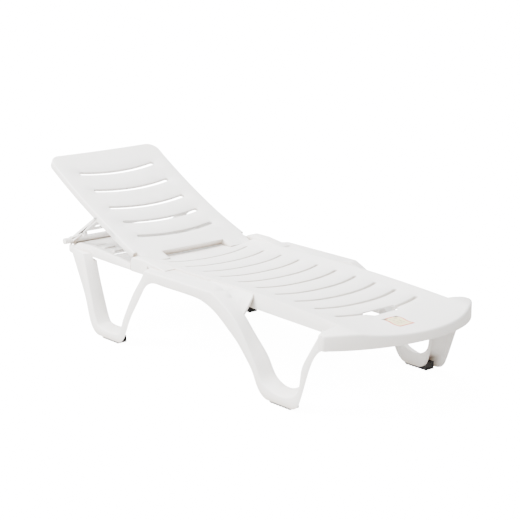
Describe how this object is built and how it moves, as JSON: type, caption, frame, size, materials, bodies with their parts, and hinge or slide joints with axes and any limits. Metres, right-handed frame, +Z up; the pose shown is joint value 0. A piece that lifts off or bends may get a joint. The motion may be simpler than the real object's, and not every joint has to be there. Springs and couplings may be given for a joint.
{
  "type": "sun lounger",
  "caption": "Reclining moulded sun lounger with a slatted dished seat, looped arch legs, slotted hinged backrest and a folding prop.",
  "frame": {"origin": "bottom centre of the box round the lounger at rest, on the floor", "axes": "+X to the right seen from the foot end, +Y along the length towards the head, +Z up"},
  "size_m": [0.6904, 1.8598, 0.6147],
  "materials": {
    "resin": "satin moulded white resin",
    "rod_tube": "white plastic-sleeved tube",
    "foot_rubber": "dull black",
    "steel": "zinc plated",
    "label": "printed film"
  },
  "bodies": {
    "frame": {"seat_deck": "resin", "head_frame": "resin", "side_frame_left": "resin", "side_frame_right": "resin", "foot_pad_front_left": "foot_rubber", "foot_pad_front_right": "foot_rubber", "foot_pad_rear_left": "foot_rubber", "foot_pad_rear_right": "foot_rubber", "foot_pad_screws": "steel", "side_frame_screws": "steel", "head_frame_screws": "steel", "hinge_pin_left": "steel", "hinge_pin_right": "steel", "care_label": "label"},
    "backrest": {"backrest_panel": "resin", "prop_pivot_left": "steel", "prop_pivot_right": "steel"},
    "prop": {"prop_frame": "resin", "prop_rod": "rod_tube", "prop_rod_cap_left": "resin", "prop_rod_cap_right": "resin"}
  },
  "joints": [
    {"name": "backrest_hinge", "type": "hinge", "parent": "frame", "child": "backrest", "pos_m": [0, 0.29412, 0.306], "axis": [1, 0, 0], "range_deg": [-21, 21]},
    {"name": "prop_swing", "type": "hinge", "parent": "backrest", "child": "prop", "pos_m": [0, 0.59712, 0.425], "axis": [1, 0, 0], "range_deg": [-52.5, 52.5]}
  ],
  "couplings": [
    {"joint": "prop_swing", "follows": "backrest_hinge", "ratio": -2.5}
  ]
}
